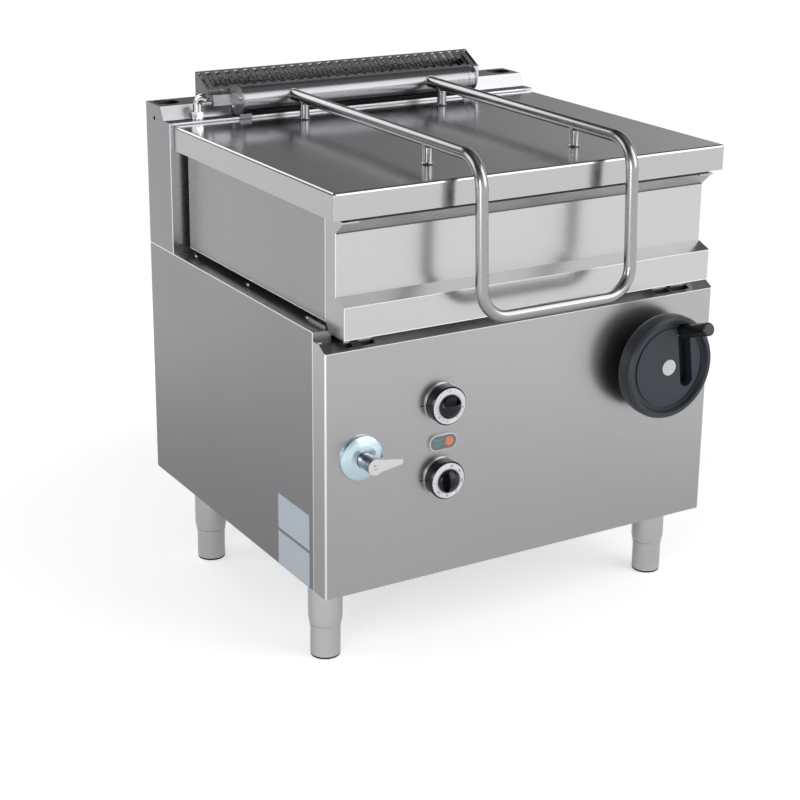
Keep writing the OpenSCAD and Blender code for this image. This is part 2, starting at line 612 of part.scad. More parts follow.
module crank() color([0.55, 0.57, 0.6]) placed() {
    along_x(wheel_x - 30, wheel_x - 21) {
        disc(gear_y, gear_z, 16);
        disc(pin_y, pin_z, 11);
        link_bar(gear_y, gear_z, pin_y, pin_z, 18);
    }
    rod_x(link_pin_d, wheel_x - 21, wheel_x - 8, pin_y, pin_z);
    rod_x(worm_shaft_d, wheel_x - 48, wheel_x + 32, gear_y, gear_z);
}
module tie_link() color([0.6, 0.62, 0.65]) placed() difference() {
    along_x(wheel_x - 19, wheel_x - 11) {
        disc(lug_y, lug_z, 11);
        disc(pin_y, pin_z, 11);
        link_bar(lug_y, lug_z, pin_y, pin_z, 14);
    }
    rod_x(link_pin_d + 2 * run_gap, wheel_x - 20, wheel_x - 10, lug_y, lug_z);
    rod_x(link_pin_d + 2 * run_gap, wheel_x - 20, wheel_x - 10, pin_y, pin_z);
}
module worm_shaft() color([0.66, 0.67, 0.69]) placed() {
    rod_y(worm_shaft_d, wheel_web + 2, 102, wheel_x, wheel_z);
    rod_y(worm_shaft_d + 8, 7, 14, wheel_x, wheel_z);
    rod_y(worm_shaft_d + 8, 84, 91, wheel_x, wheel_z);
}
// thread of the worm: round section set off from the axis, turning once per lead
worm_n = 16;
worm_rings = 72;
worm_len = 6 * lead;
function worm_point(i, j) = let (t = i * 360 * 6 / worm_rings, a = j * 360 / worm_n)
    [worm_r * cos(a) + thread_e * sin(t), worm_r * sin(a) + thread_e * cos(t), i * worm_len / worm_rings];
module worm_body() polyhedron(
    points = [for (i = [0 : worm_rings]) for (j = [0 : worm_n - 1]) worm_point(i, j)],
    faces = concat(
        [[for (j = [0 : worm_n - 1]) j]],
        [for (i = [0 : worm_rings - 1]) for (j = [0 : worm_n - 1])
            [i * worm_n + j, (i + 1) * worm_n + j, (i + 1) * worm_n + (j + 1) % worm_n]],
        [for (i = [0 : worm_rings - 1]) for (j = [0 : worm_n - 1])
            [i * worm_n + j, (i + 1) * worm_n + (j + 1) % worm_n, i * worm_n + (j + 1) % worm_n]],
        [[for (j = [worm_n - 1 : -1 : 0]) worm_rings * worm_n + j]]
    )
);
module worm() color([0.6, 0.61, 0.62]) placed()
    translate([wheel_x, gear_y - worm_len / 2, wheel_z]) rotate([-90, 0, 0]) difference() {
        worm_body();
        translate([0, 0, -1]) cylinder(h = worm_len + 2, d = worm_shaft_d);
    }

// Hand wheel
module wheel_frame() translate([wheel_x, 0, wheel_z]) rotate([0, wheel_turn, 0]) children();
module wheel_blank() rotate([90, 0, 0]) rotate_extrude($fn = 128) union() {
    polygon([[8, 4.3], [22, 4.3], [22, -wheel_back], [86, -wheel_back], [86, -wheel_web], [8, -wheel_web]]);
    polygon([
        [78, -wheel_back], [90, -wheel_back], [wheel_d / 2 - 1.5, 29], [wheel_d / 2, 35], [wheel_d / 2, 50],
        [wheel_d / 2 - 2, 56], [wheel_d / 2 - 6, -wheel_front], [83, -wheel_front], [79.5, -wheel_web]
    ]);
}
module handwheel() color([0.16, 0.18, 0.2]) placed() wheel_frame() difference() {
    wheel_blank();
    // ring groove in the recessed face
    rotate([90, 0, 0]) rotate_extrude($fn = 96) translate([71, 50]) square([5, 3]);
    // slot that takes the folded grip
    translate([grip_px, 0, grip_pz]) {
        rod_y(slot_w, -70, wheel_back - 2, 0, 8);
        rod_y(slot_w, -70, wheel_back - 2, 0, -grip_len);
        box(-slot_w / 2, slot_w / 2, -70, wheel_back - 2, -grip_len, 8);
        rod_x(8, -slot_w / 2 - 8, slot_w / 2 + 8, grip_py, 0);
    }
}
module hub_cap() color([0.85, 0.87, 0.88]) placed() wheel_frame() rod_y(29, wheel_web - 2, wheel_web, 0, 0);
module grip_frame() wheel_frame()
    translate([grip_px, grip_py, grip_pz]) rotate([-grip_lean, 0, 0]) children();
module grip_bracket() color([0.6, 0.61, 0.62]) placed() grip_frame() {
    rod_x(8 - 2 * run_gap, -21, 21, 0, 0);
    rod_x(16, -13, 13, 0, 0);
    rod_y(10, -grip_len + 6, -4, 0, 0);
}
module grip() color([0.1, 0.1, 0.11]) placed() grip_frame() difference() {
    union() {
        rod_y(grip_d, -grip_len + grip_chamfer, -10, 0, 0);
        translate([0, -grip_len, 0]) rotate([-90, 0, 0])
            cylinder(h = grip_chamfer, d1 = grip_d - 2 * grip_chamfer, d2 = grip_d);
    }
    rod_y(10 + 2 * run_gap, -grip_len + 5.5, -9, 0, 0);
}

// Controls
module bezel(z) bush_y(knob_d + 2, 14, -3, 0, knob_x, z);
module knob_bezels() color([0.8, 0.81, 0.82]) placed() {
    bezel(upper_knob_z);
    bezel(lower_knob_z);
}
module knob(z, a) translate([knob_x, 0, z]) rotate([0, a, 0]) difference() {
    union() {
        rod_y(knob_d, -20, -3.5, 0, 0);
        translate([0, -22, 0]) rotate([-90, 0, 0]) cylinder(h = 2, d1 = knob_d - 4, d2 = knob_d);
        // domed hub
        intersection() {
            rod_y(42, -40, -19, 0, 0);
            translate([0, -13.2, 0]) sphere(24.8);
        }
    }
    // finger recess beside the blade
    intersection() {
        rod_y(37, -41, -23.5, 0, 0);
        box(-20, -5, -41, -23.5, -20, 20);
    }
    rod_y(6, -30, -2, 0, 0);
}
module upper_knob() color([0.12, 0.12, 0.13]) placed() knob(upper_knob_z, 90);
module lower_knob() color([0.12, 0.12, 0.13]) placed() knob(lower_knob_z, 0);
module spindle(z) rod_y(6 - 2 * run_gap, -29, 12, knob_x, z);
module rotary_switch() color([0.2, 0.22, 0.25]) placed() {
    box(knob_x - 24, knob_x + 24, sheet, 46, upper_knob_z - 24, upper_knob_z + 24);
    spindle(upper_knob_z);
}
module thermostat() color([0.55, 0.57, 0.6]) placed() {
    box(knob_x - 22, knob_x + 22, sheet, 38, lower_knob_z - 17, lower_knob_z + 17);
    spindle(lower_knob_z);
}
module lamp_housing() color([0.6, 0.62, 0.63]) placed() difference() {
    union() {
        for (x = [-13, 13]) rod_y(28, -3, 0, knob_x + x, lamp_z);
        box(knob_x - 13, knob_x + 13, -3, 0, lamp_z - 14, lamp_z + 14);
        box(knob_x - 22, knob_x + 22, -0.5, 25, lamp_z - 9, lamp_z + 9);
    }
    for (x = [-12, 12]) rod_y(16, -4, 20, knob_x + x, lamp_z);
}
module lens(x) {
    rod_y(16, -4, 8, knob_x + x, lamp_z);
}
module lens_green() color([0.2, 0.5, 0.35]) placed() lens(-12);
module lens_amber() color([0.85, 0.45, 0.2]) placed() lens(12);

// Water supply
module tap_escutcheon() color([0.78, 0.82, 0.84]) placed() difference() {
    translate([tap_x, 0, tap_z]) rotate([90, 0, 0]) rotate_extrude($fn = 96)
        polygon([
            [0, 0], [escutcheon_d / 2, 0], [escutcheon_d / 2, 3], [escutcheon_d / 2 - 1.5, 5.2],
            [escutcheon_d / 2 - 7, 8], [escutcheon_d / 2 - 16, 10.6], [13, 12], [0, 12]
        ]);
    rod_y(22, -20, 1, tap_x, tap_z);
}
module tap_valve() color([0.72, 0.6, 0.35]) placed() {
    rod_y(22, -26, 40, tap_x, tap_z);
    rod_y(34, sheet, 44, tap_x, tap_z);
    rod_y(11.9, -42, -26, tap_x, tap_z);
    rod_z(26, tap_z - 33, tap_z, tap_x, 25);
}
module tap_lever() color([0.82, 0.83, 0.84]) placed() difference() {
    union() {
        rod_y(28, -50, -27, tap_x, tap_z);
        translate([tap_x, -38, tap_z]) rotate([90, 0, 0]) linear_extrude(10) {
            polygon([[0, 12.5], [lever_len - 5, 4.8], [lever_len - 5, -4.8], [0, -12.5]]);
            disc(lever_len - 5, 0, 5);
        }
    }
    rod_y(12, -43, -26, tap_x, tap_z);
}
module water_pipes() color([0.72, 0.5, 0.35]) placed() {
    // from the inlet in the cabinet floor forward to the valve
    rod_z(inlet_d, 112, cab_z0 - 4, tap_x, inlet_y);
    rod_z(15, cab_z0 - 4, tap_z - 75, tap_x, inlet_y);
    translate([tap_x, inlet_y - 30, tap_z - 75]) rotate([90, 0, 90])
        rotate_extrude(angle = 90) translate([30, 0]) circle(d = 15);
    rod_y(15, 25, inlet_y - 30, tap_x, tap_z - 45);
    rod_z(26, tap_z - 56, tap_z - 33, tap_x, 25);
    // from the valve back and up to the spout
    rod_y(15, 44, spout_y - 30, spout_x, tap_z);
    translate([spout_x, spout_y - 30, tap_z + 30]) rotate([90, 0, 90])
        rotate_extrude(angle = -90) translate([30, 0]) circle(d = 15);
    rod_z(15, tap_z + 30, ledge_z, spout_x, spout_y);
}
module spout() color([0.82, 0.83, 0.84]) placed() {
    rod_z(24, ledge_z, ledge_z + 3, spout_x, spout_y);
    translate([spout_x, spout_y, ledge_z + 3]) cylinder(h = 12, d = 24, $fn = 6);
    rod_z(spout_d, ledge_z + 14, ledge_z + 27.5, spout_x, spout_y);
    translate([spout_x, spout_y, ledge_z + 27.5]) rotate([0, 0, -48]) translate([13, 0, 0]) rotate([90, 0, 0])
        rotate([0, 0, 50]) rotate_extrude(angle = 130) translate([13, 0]) circle(d = spout_d);
}

// Electrical parts
module control_gear() color([0.8, 0.8, 0.78]) placed() {
    box(-120, 120, 302, 337, cab_z0 + sheet, cab_z0 + sheet + 7.5);
    box(-105, -60, 285, 355, cab_z0 + 9, cab_z0 + 95);
    box(-52, -7, 285, 355, cab_z0 + 9, cab_z0 + 95);
    box(10, 110, 297, 342, cab_z0 + 9, cab_z0 + 50);
    // switch that cuts the heating off when the pan is tilted
    box(100 - hw, 130 - hw, riser_y - 36, riser_y, flange_z - 39, flange_z - 11);
    rod_z(7, flange_z - 12, casing_z - 0.4, 115 - hw, riser_y - 26);
}
module cable_gland() color([0.1, 0.1, 0.1]) placed() difference() {
    union() {
        rod_z(24, cab_z0 - 21, cab_z0 + 23, gland_x, gland_y);
        translate([gland_x, gland_y, cab_z0 + sheet]) cylinder(h = 6, d = 34, $fn = 6);
        translate([gland_x, gland_y, cab_z0 - 8]) cylinder(h = 8, d = 34, $fn = 6);
    }
    rod_z(gland_bore, cab_z0 - 29, cab_z0 + 31, gland_x, gland_y);
}
module screw_head(x, y, z) {
    rod_z(8, z, z + 1.6, x, y);
    translate([x, y, z + 1.6]) cylinder(h = 1, d1 = 8, d2 = 5);
}
module panel_screws() color([0.7, 0.71, 0.72]) placed() both() {
    for (y = [118, 341, riser_y - 31]) screw_head(-hw + 33, y, flange_z);
    screw_head(-hw + 6, 27, 594);
}

left_side_panel();
right_side_panel();
front_panel();
back_panel();
bottom_panel();
rear_cross_rail();
rear_riser();
flue_grille();
leg_sleeves();
foot_front_left();
foot_front_right();
foot_rear_left();
foot_rear_right();
trunnion_brackets();
bronze_bushes();
trunnion_pins();
vessel();
casing_front();
casing_panels();
bottom_cover();
heating_elements();
pan_insulation();
thermostat_bulb();
tilt_lug();
hinge_stands();
hinge_shaft();
spring_anchor();
balance_spring();
lid_skin();
lid_inner_skin();
lid_insulation();
lid_seal();
lid_handle();
hinge_tube();
gearbox_frame();
worm_wheel();
crank();
tie_link();
worm_shaft();
worm();
handwheel();
hub_cap();
grip_bracket();
grip();
knob_bezels();
upper_knob();
lower_knob();
rotary_switch();
thermostat();
lamp_housing();
lens_green();
lens_amber();
tap_escutcheon();
tap_valve();
tap_lever();
water_pipes();
spout();
control_gear();
cable_gland();
panel_screws();
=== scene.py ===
import math
import bmesh
import bpy
from mathutils import Matrix, Vector


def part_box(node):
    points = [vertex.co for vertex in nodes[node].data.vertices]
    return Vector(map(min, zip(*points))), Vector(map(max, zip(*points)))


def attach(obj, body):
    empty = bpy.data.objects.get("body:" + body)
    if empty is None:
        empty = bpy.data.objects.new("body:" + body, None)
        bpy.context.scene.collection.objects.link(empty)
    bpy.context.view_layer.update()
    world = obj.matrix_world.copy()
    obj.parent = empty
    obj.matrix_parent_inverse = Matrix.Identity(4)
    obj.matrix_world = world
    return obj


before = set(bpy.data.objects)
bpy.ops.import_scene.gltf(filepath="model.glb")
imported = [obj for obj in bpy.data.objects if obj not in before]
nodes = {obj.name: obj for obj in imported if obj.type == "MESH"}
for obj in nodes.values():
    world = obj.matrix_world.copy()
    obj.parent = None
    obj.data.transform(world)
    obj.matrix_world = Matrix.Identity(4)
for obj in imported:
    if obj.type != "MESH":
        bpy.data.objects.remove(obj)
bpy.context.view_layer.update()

# Places are given in millimetres in the cabinet's own coordinates: x from the middle,
# y backwards from the front panel, z from the floor.
FRONT_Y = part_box("front_panel")[0].y
MM = 0.001


def place(x, y, z):
    return Vector((x * MM, FRONT_Y + y * MM, z * MM))


# Camera, as fitted to the photograph
CAMERA_AT = (-1711.2, -2417.2, 1502.05)
CAMERA_AZIMUTH = math.radians(-30.976)
CAMERA_ELEVATION = math.radians(17.688)
CAMERA_ROLL = math.radians(0.572)
CAMERA_LENS = 81.44
CAMERA_SENSOR = 36
CAMERA_SHIFT_Y = -0.0875
CAMERA_REACH = 50


def add_camera():
    a, e, r = CAMERA_AZIMUTH, CAMERA_ELEVATION, CAMERA_ROLL
    back = Vector((math.sin(a) * math.cos(e), -math.cos(a) * math.cos(e), math.sin(e)))
    level_right = Vector((math.cos(a), math.sin(a), 0))
    level_up = back.cross(level_right)
    right = level_right * math.cos(r) + level_up * math.sin(r)
    up = level_up * math.cos(r) - level_right * math.sin(r)
    data = bpy.data.cameras.new("camera")
    data.sensor_width = CAMERA_SENSOR
    data.lens = CAMERA_LENS
    data.shift_y = CAMERA_SHIFT_Y
    data.clip_end = CAMERA_REACH
    camera = bpy.data.objects.new("camera", data)
    bpy.context.scene.collection.objects.link(camera)
    turn = Matrix((right, up, back)).transposed().to_4x4()
    camera.matrix_world = Matrix.Translation(place(*CAMERA_AT)) @ turn
    bpy.context.scene.camera = camera


# Node helpers
MIX_MASK, MIX_FIRST, MIX_SECOND, MIX_COLOUR = 0, 6, 7, 2  # colour sockets of the Mix node
NOISE_LOW, NOISE_HIGH = 0.25, 0.75  # noise stays mostly between these values


def new_material(name):
    material = bpy.data.materials.new(name)
    material.use_nodes = True
    tree = material.node_tree
    shader = tree.nodes["Principled BSDF"]
    return material, tree, shader


def node(tree, kind, inputs=None, **attributes):
    made = tree.nodes.new(kind)
    for key, value in attributes.items():
        setattr(made, key, value)
    for key, value in (inputs or {}).items():
        made.inputs[key].default_value = value
    return made


def connect(tree, value, socket):
    """Gives a socket its value: another socket, a plain number or a colour."""
    if isinstance(value, bpy.types.NodeSocket):
        tree.links.new(value, socket)
    elif isinstance(value, (int, float)):
        socket.default_value = value
    else:
        socket.default_value = (*value, 1)


def maths(tree, operation, *values, clamp=False):
    made = node(tree, "ShaderNodeMath", operation=operation, use_clamp=clamp)
    for number, value in enumerate(values):
        connect(tree, value, made.inputs[number])
    return made.outputs[0]


def mix(tree, mask, first, second):
    """Colour that goes from the first to the second as the mask goes from 0 to 1."""
    made = node(tree, "ShaderNodeMix", data_type="RGBA")
    connect(tree, mask, made.inputs[MIX_MASK])
    connect(tree, first, made.inputs[MIX_FIRST])
    connect(tree, second, made.inputs[MIX_SECOND])
    return made.outputs[MIX_COLOUR]


def remap(tree, value, from_low, from_high, to_low=0.0, to_high=1.0, curve="LINEAR"):
    limits = {"From Min": from_low, "From Max": from_high, "To Min": to_low, "To Max": to_high}
    made = node(tree, "ShaderNodeMapRange", limits, interpolation_type=curve)
    tree.links.new(value, made.inputs["Value"])
    return made.outputs["Result"]


def spread(tree, value, low, high):
    """Stretches a noise value over a range."""
    return remap(tree, value, NOISE_LOW, NOISE_HIGH, low, high)


def noise(tree, scale, detail=3.0, rough=0.55, stretch=(1, 1, 1)):
    coords = node(tree, "ShaderNodeTexCoord")
    mapping = node(tree, "ShaderNodeMapping", {"Scale": stretch})
    texture = node(tree, "ShaderNodeTexNoise", {"Scale": scale, "Detail": detail, "Roughness": rough})
    tree.links.new(coords.outputs["Object"], mapping.inputs["Vector"])
    tree.links.new(mapping.outputs["Vector"], texture.inputs["Vector"])
    return texture.outputs["Fac"]


def bump(tree, shader, value, strength, distance):
    made = node(tree, "ShaderNodeBump", {"Strength": strength, "Distance": distance})
    tree.links.new(value, made.inputs["Height"])
    tree.links.new(made.outputs["Normal"], shader.inputs["Normal"])


def axes_of(tree, kind):
    """X, Y and Z of a texture coordinate: Object for the place, Normal for the object's own normal."""
    coords = node(tree, "ShaderNodeTexCoord")
    split = node(tree, "ShaderNodeSeparateXYZ")
    tree.links.new(coords.outputs[kind], split.inputs[0])
    return split.outputs


def toned(colour, factor):
    return [min(1, c * factor) for c in colour]


# Material helpers
STREAK = {"x": (1, 60, 60), "y": (60, 1, 60), "z": (60, 60, 1), "rings": (2, 2, 60)}
STREAK_DARK, STREAK_LIGHT = 1.4, 1.2  # how strongly the grain shows in the colour
STREAK_DEPTH = 0.0004
PATCH_GLOSS = 0.03
GRAIN_DEPTH = 0.00025


def steel(name, colour, rough, brush="x", grain=0.05, relief=0.12, metallic=1.0):
    """Brushed metal: long fine streaks along one axis, over broad soft patches."""
    material, tree, shader = new_material(name)
    shader.inputs["Metallic"].default_value = metallic
    streaks = noise(tree, 14.0, 4.0, 0.6, STREAK[brush])
    patches = noise(tree, 5.0, 2.0, 0.5)
    dark = toned(colour, 1 - STREAK_DARK * grain)
    light = toned(colour, 1 + STREAK_LIGHT * grain)
    tree.links.new(mix(tree, streaks, dark, light), shader.inputs["Base Color"])
    brushed = spread(tree, streaks, rough - grain, rough + grain)
    patchy = spread(tree, patches, -PATCH_GLOSS, PATCH_GLOSS)
    tree.links.new(maths(tree, "ADD", brushed, patchy), shader.inputs["Roughness"])
    bump(tree, shader, streaks, relief, STREAK_DEPTH)
    return material


def moulded(name, colour, rough, speckle=0.08, relief=0.15, scale=900.0, coat=0.0, metallic=0.0, glint=0.5):
    """Moulded or cast surface: fine grain in the relief, soft patches in the gloss."""
    material, tree, shader = new_material(name)
    shader.inputs["Metallic"].default_value = metallic
    shader.inputs["Coat Weight"].default_value = coat
    shader.inputs["Specular IOR Level"].default_value = glint
    grain = noise(tree, scale, 2.0)
    patches = noise(tree, 18.0, 3.0)
    base = mix(tree, patches, toned(colour, 1 - speckle), toned(colour, 1 + speckle))
    tree.links.new(base, shader.inputs["Base Color"])
    tree.links.new(spread(tree, patches, rough - 0.06, rough + 0.06), shader.inputs["Roughness"])
    bump(tree, shader, grain, relief, GRAIN_DEPTH)
    return material


def clear_plastic(name, colour, rough=0.12, clear=0.35, glow=0.0):
    """Lens of clear plastic with a slight ripple; glow lights it from inside."""
    material, tree, shader = new_material(name)
    ripple = noise(tree, 160.0, 2.0)
    tree.links.new(mix(tree, ripple, toned(colour, 0.8), colour), shader.inputs["Base Color"])
    shader.inputs["Roughness"].default_value = rough
    shader.inputs["Transmission Weight"].default_value = clear
    shader.inputs["IOR"].default_value = 1.49
    shader.inputs["Emission Color"].default_value = (*colour, 1)
    shader.inputs["Emission Strength"].default_value = glow
    bump(tree, shader, ripple, 0.2, 0.0003)
    return material


def fibre(name, colour):
    """Wool with upright strands."""
    material, tree, shader = new_material(name)
    strands = noise(tree, 90.0, 6.0, 0.7, (1, 1, 6))
    tree.links.new(mix(tree, strands, toned(colour, 0.6), colour), shader.inputs["Base Color"])
    shader.inputs["Roughness"].default_value = 0.95
    bump(tree, shader, strands, 0.8, 0.002)
    return material


# Name, colour, roughness; steel then has its brushing, grain and relief, moulded its speckle, relief and scale
MATERIALS = {
    "front": steel("front_steel", (0.475, 0.469, 0.476), 0.30, "x", 0.02, 0.02),
    # painted shade: the side sheets are the front's steel in a darker colour
    "side": steel("side_steel", (0.285, 0.283, 0.293), 0.31, "y", 0.03, 0.06),
    "riser": steel("riser_steel", (0.28, 0.278, 0.288), 0.28, "x", 0.03, 0.03),
    # the casing's front and sides are one steel: painted light makes the front lighter, painted shade makes the
    # sides darker
    "casing": steel("casing_steel", (0.61, 0.605, 0.615), 0.25, "x", 0.02, 0.012),
    "casing_side": steel("casing_side_steel", (0.31, 0.308, 0.316), 0.27, "y", 0.02, 0.012),
    "lid": steel("lid_steel", (0.45, 0.446, 0.458), 0.16, "x", 0.04, 0.08),
    "tube": steel("tube_steel", (0.38, 0.376, 0.386), 0.22, "y", 0.05, 0.06),
    "hinge": steel("hinge_steel", (0.30, 0.296, 0.308), 0.25, "x", 0.05, 0.08),
    "stand": steel("stand_steel", (0.34, 0.336, 0.348), 0.27, "x", 0.03, 0.05),
    # bright steel of the painted highlights on rounded sheet edges
    "edge": steel("edge_highlight_steel", (0.88, 0.875, 0.885), 0.24, "x", 0.04, 0.03, metallic=0.4),
    "flue": steel("flue_steel", (0.60, 0.596, 0.61), 0.26, "y", 0.05),
    "leg": steel("leg_steel", (0.64, 0.632, 0.628), 0.15, "rings", 0.03, 0.28),
    "inner": steel("inner_steel", (0.40, 0.40, 0.41), 0.42, "y", 0.08),
    "machined": steel("machined_steel", (0.46, 0.46, 0.47), 0.24, "z", 0.06),
    "vessel": steel("vessel_steel", (0.52, 0.515, 0.525), 0.30, "x"),
    "spring": steel("spring_steel", (0.16, 0.16, 0.17), 0.35, "x"),
    "sheath": steel("element_sheath", (0.20, 0.16, 0.13), 0.45, "x", 0.1),
    "lever": steel("lever_chrome", (0.34, 0.336, 0.345), 0.16, "x", 0.06, 0.08),
    "chrome": steel("chrome_trim", (0.66, 0.665, 0.67), 0.10, "y", 0.02, 0.02),
    "escutcheon": steel("tap_zinc", (0.64, 0.80, 0.89), 0.28, "z", 0.05, 0.04),
    "bronze": steel("bushing_bronze", (0.55, 0.34, 0.14), 0.34, "x"),
    "copper": steel("pipe_copper", (0.60, 0.30, 0.18), 0.32, "y"),
    "wheel": moulded("wheel_plastic", (0.022, 0.027, 0.038), 0.42, 0.10, 0.2, coat=0.06),
    "black": moulded("black_plastic", (0.012, 0.012, 0.014), 0.34),
    "gloss": moulded("gloss_black", (0.006, 0.006, 0.008), 0.20, 0.05, 0.04, coat=0.12, glint=0.3),
    "cap": moulded("cap_plastic", (0.62, 0.66, 0.68), 0.35),
    "dial": moulded("dial_white", (0.80, 0.82, 0.87), 0.30, 0.03, 0.05),
    "switch": moulded("switch_plastic", (0.05, 0.055, 0.065), 0.5),
    "gear": moulded("gear_plastic", (0.55, 0.55, 0.52), 0.5),
    "rubber": moulded("seal_rubber", (0.018, 0.018, 0.018), 0.7, 0.15, 0.5, 400.0),
    "wool": fibre("mineral_wool", (0.62, 0.56, 0.40)),
    "green": clear_plastic("green_lens", (0.18, 0.38, 0.34), glow=0.15),
    "amber": clear_plastic("amber_lens", (0.90, 0.26, 0.07), glow=0.35),
    "lamp": clear_plastic("lamp_body", (0.62, 0.68, 0.67), glow=0.12),
    "window": clear_plastic("lamp_window", (0.80, 0.85, 0.86), 0.06, 0.95),
    "plate": moulded("blank_plate", (0.56, 0.63, 0.70), 0.36, 0.03, 0.05, metallic=0.2),
    "mark": moulded("mark_print", (0.03, 0.03, 0.035), 0.5),
    "dark": moulded("dark_gap", (0.01, 0.01, 0.01), 0.8),
}
NODE_MATERIAL = {
    "front": ["front_panel"],
    "side": ["left_side_panel", "right_side_panel"],
    "flue": ["flue_grille"],
    "riser": ["rear_riser", "back_panel", "bottom_panel", "rear_cross_rail"],
    "casing": ["casing_front"],
    "casing_side": ["casing_panels"],
    "lid": ["lid_skin", "lid_inner_skin"],
    "tube": ["lid_handle"],
    "hinge": ["hinge_tube", "hinge_shaft", "spring_anchor"],
    "stand": ["hinge_stands"],
    "leg": ["leg_sleeves", "foot_front_left", "foot_front_right", "foot_rear_left", "foot_rear_right"],
    "inner": ["trunnion_brackets", "trunnion_pins", "tilt_lug", "gearbox_frame", "bottom_cover"],
    "machined": ["crank", "tie_link", "worm_shaft", "worm", "grip_bracket"],
    "vessel": ["vessel"],
    "spring": ["balance_spring"],
    "sheath": ["heating_elements"],
    "chrome": ["knob_bezels", "panel_screws", "spout"],
    "lever": ["tap_lever"],
    "escutcheon": ["tap_escutcheon"],
    "bronze": ["bronze_bushes", "worm_wheel", "tap_valve"],
    "copper": ["water_pipes", "thermostat_bulb"],
    "wheel": ["handwheel"],
    "black": ["grip", "cable_gland"],
    "gloss": ["upper_knob", "lower_knob"],
    "cap": ["hub_cap"],
    "switch": ["rotary_switch", "thermostat"],
    "gear": ["control_gear"],
    "rubber": ["lid_seal"],
    "wool": ["pan_insulation", "lid_insulation"],
    "green": ["lens_green"],
    "amber": ["lens_amber"],
    "lamp": ["lamp_housing"],
}


# Painted light and shade on single faces and painted highlights along edges, laid over a material's colour.
# A face looks along an axis from the first value of its normal, and fully from the second.
FACING, FACING_FULL = 0.6, 0.9
ROUNDING, ROUNDING_FULL = 0.10, 0.35  # x times y of the normal where an upright corner is round
# colour of the painted highlights along edges and seams
BAND_HIGHLIGHT = (0.86, 0.855, 0.865)


def tone_over(tree, mask, colour):
    base = tree.nodes["Principled BSDF"].inputs["Base Color"]
    tree.links.new(mix(tree, mask, base.links[0].from_socket, colour), base)


def paint_corner_highlight(material, colour):
    """Paints a bright highlight into a panel's colour where its surface turns round an upright corner."""
    tree = MATERIALS[material].node_tree
    normal = axes_of(tree, "Normal")
    rounding = maths(tree, "ABSOLUTE", maths(tree, "MULTIPLY", normal["X"], normal["Y"]))
    tone_over(tree, remap(tree, rounding, ROUNDING, ROUNDING_FULL), colour)


def paint_facing_light(material, colour, axis, side=-1):
    """Paints light or shade into a sheet's colour on the faces that look along an axis, or against it."""
    tree = MATERIALS[material].node_tree
    normal = axes_of(tree, "Normal")
    tone_over(tree, remap(tree, normal[axis], side * FACING, side * FACING_FULL), colour)


def paint_highlight_bands(material, colour, lines):
    """Paints narrow bright bands into a colour as highlights. Each band has an axis, its middle and half width along
    that axis in cabinet millimetres, and the axis that its faces look along."""
    tree = MATERIALS[material].node_tree
    spot = axes_of(tree, "Object")
    normal = axes_of(tree, "Normal")
    total = 0.0
    for axis, middle, half, look in lines:
        start = FRONT_Y if axis == "Y" else 0.0
        band = maths(tree, "COMPARE", spot[axis], start + middle * MM, half * MM)
        along = maths(tree, "GREATER_THAN", maths(tree, "ABSOLUTE", normal[look]), FACING)
        total = maths(tree, "ADD", total, maths(tree, "MULTIPLY", band, along))
    tone_over(tree, maths(tree, "MINIMUM", total, 1.0), colour)


# Painted light, painted shade and painted highlights laid into the sheets' colours
def paint_sheet_light_and_shade():
    # painted highlight on the front panel's rounded upright corners
    paint_corner_highlight("front", (0.90, 0.895, 0.905))
    # painted light: the riser's front-facing faces lighter
    paint_facing_light("riser", (0.49, 0.485, 0.50), "Y")
    # painted shade: the flue grille's left-facing faces darker
    paint_facing_light("flue", (0.13, 0.13, 0.135), "X")
    # painted light: the tap lever's front-facing faces lighter
    paint_facing_light("lever", (0.80, 0.795, 0.80), "Y")
    # painted light: the lid's front-facing faces lighter
    paint_facing_light("lid", (0.54, 0.535, 0.548), "Y")
    # painted light on the hinge stands' left-facing faces, painted shade on their front-facing faces
    paint_facing_light("stand", (0.80, 0.795, 0.81), "X")
    paint_facing_light("stand", (0.20, 0.198, 0.205), "Y")
    # painted highlights along the seams and edges of the side panels, front panel, riser and casing sides
    paint_highlight_bands("side", BAND_HIGHLIGHT, [("Y", 41.6, 1.8, "X"), ("Z", 608.5, 1.3, "X")])
    paint_highlight_bands("front", BAND_HIGHLIGHT, [("Z", 581.5, 0.9, "Y")])
    paint_highlight_bands("riser", (0.66, 0.655, 0.67), [("Y", 588, 0.4, "Y")])
    paint_highlight_bands("riser", BAND_HIGHLIGHT, [("Y", 589.5, 1.8, "X")])
    paint_highlight_bands("casing_side", BAND_HIGHLIGHT, [("Z", 622.8, 1.0, "X"), ("Y", 46.0, 1.2, "X")])
    # painted shade: the casing front's left-facing and upward faces darker
    paint_facing_light("casing", (0.43, 0.426, 0.436), "X")
    paint_facing_light("casing", (0.42, 0.412, 0.412), "Z", 1)
    # painted highlights along the casing front's edges
    paint_highlight_bands("casing", (0.93, 0.925, 0.935), [
        ("X", -373.2, 0.9, "Y"), ("X", 373.2, 0.9, "Y"), ("Z", 660.0, 0.8, "Y"), ("Z", 606.2, 0.8, "Y"),
    ])
    # painted light: the side panels' upward faces lighter
    paint_facing_light("side", (0.62, 0.615, 0.63), "Z", 1)


# Edges of the CAD's nodes
SHARP_ANGLE = math.radians(30)
BEVEL_ANGLE = math.radians(35)

